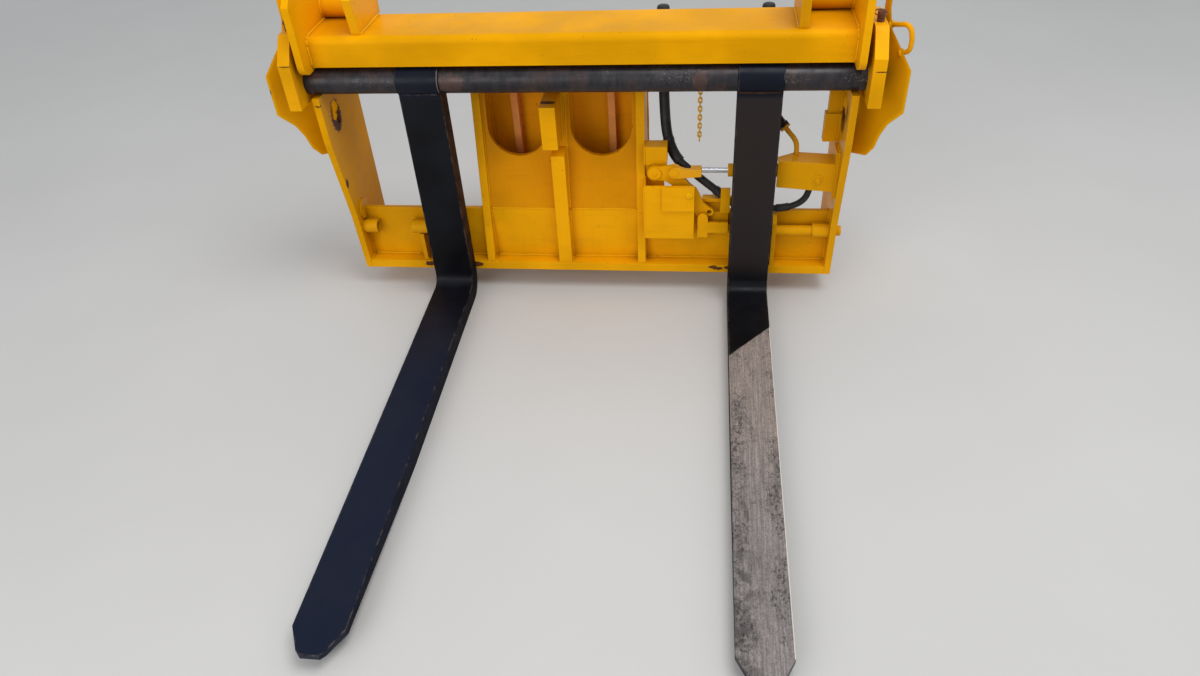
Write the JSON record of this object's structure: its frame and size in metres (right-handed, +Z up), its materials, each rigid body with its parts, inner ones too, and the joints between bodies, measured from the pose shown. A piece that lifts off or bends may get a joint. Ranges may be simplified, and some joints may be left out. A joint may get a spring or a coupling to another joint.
{
  "type": "telehandler pallet fork carriage",
  "caption": "Pallet fork carriage off a telehandler, with hooked side plates, a round fork shaft, swinging forks and a hydraulic lock.",
  "frame": {"origin": "middle of the footprint, on the floor", "axes": "+X across the carriage to the driver's right, +Y from the fork tips back to the machine, +Z up"},
  "size_m": [1.45, 1.492, 0.83],
  "materials": {
    "yellow_paint": "gloss paint, brushed on over old paint, with chips",
    "black_paint": "satin black, worn to bare steel on top of the right blade",
    "worn_steel": "dark, greasy and rubbed",
    "rusty_steel": "rusty",
    "chrome": "hard chrome",
    "rubber": "dusty hose rubber over a woven cover",
    "plated_steel": "zinc plated, dull"
  },
  "bodies": {
    "frame": {"anchor_block": "yellow_paint", "bottom_plate": "yellow_paint", "chain": "yellow_paint", "couplers": "plated_steel", "ear_left": "yellow_paint", "ear_right": "yellow_paint", "fork_shaft": "worn_steel", "grab_handle": "yellow_paint", "guide_left": "yellow_paint", "guide_right": "yellow_paint", "hose_block": "yellow_paint", "hose_lock": "rubber", "hose_ram": "rubber", "hose_return": "rubber", "keeper_pin_left": "rusty_steel", "keeper_pin_right": "rusty_steel", "lever_cover": "yellow_paint", "lever_mount": "yellow_paint", "lock_bosses": "yellow_paint", "pivot_cheek_left": "yellow_paint", "pivot_cheek_right": "yellow_paint", "ram_elbow": "yellow_paint", "ram_housing": "yellow_paint", "rear_plate": "yellow_paint", "rib_centre": "yellow_paint", "rib_left": "yellow_paint", "rib_right": "yellow_paint", "saddle": "yellow_paint", "shaft_sleeves": "worn_steel", "side_bracket": "yellow_paint", "side_plate_left": "yellow_paint", "side_plate_right": "yellow_paint", "stiffeners": "yellow_paint", "stop_block": "yellow_paint", "stub_tube_left": "yellow_paint", "stub_tube_right": "yellow_paint", "top_beam": "yellow_paint", "upright_left": "yellow_paint", "upright_right": "yellow_paint", "web": "yellow_paint", "web_ribs": "yellow_paint"},
    "fork_left": {"fork_left": "black_paint"},
    "fork_right": {"fork_right": "black_paint"},
    "lock_lever": {"lock_lever": "yellow_paint"},
    "lock_bar": {"lock_bar": "yellow_paint"},
    "ram_barrel": {"ram_cylinder": "yellow_paint"},
    "ram_rod": {"ram_rod": "chrome"}
  },
  "joints": [
    {"name": "fork_left_swing", "type": "hinge", "parent": "frame", "child": "fork_left", "pos_m": [-0.36602, 0.3765, 0.603], "axis": [-1, 0, 0], "range_deg": [0, 90]},
    {"name": "fork_right_swing", "type": "hinge", "parent": "frame", "child": "fork_right", "pos_m": [0.41101, 0.3765, 0.603], "axis": [-1, 0, 0], "range_deg": [0, 90]},
    {"name": "lock_lever_swing", "type": "hinge", "parent": "frame", "child": "lock_lever", "pos_m": [0.227, 0.417, 0.281], "axis": [0, 1, 0], "range_deg": [0, 25]},
    {"name": "lock_bar_slide", "type": "slide", "parent": "frame", "child": "lock_bar", "axis": [-1, 0, 0], "range_m": [0, 0.0341]},
    {"name": "ram_swing", "type": "hinge", "parent": "frame", "child": "ram_barrel", "pos_m": [0.565, 0.421, 0.35], "axis": [0, 1, 0], "range_deg": [-0.69, 0]},
    {"name": "ram_rod_slide", "type": "slide", "parent": "ram_barrel", "child": "ram_rod", "axis": [1, 0, 0], "range_m": [0, 0.0303]}
  ],
  "couplings": [
    {"joint": "lock_bar_slide", "follows": "lock_lever_swing", "m_per_rad": 0.07691},
    {"joint": "ram_swing", "follows": "lock_lever_swing", "ratio": -0.0255},
    {"joint": "ram_rod_slide", "follows": "lock_lever_swing", "m_per_rad": 0.06829}
  ]
}
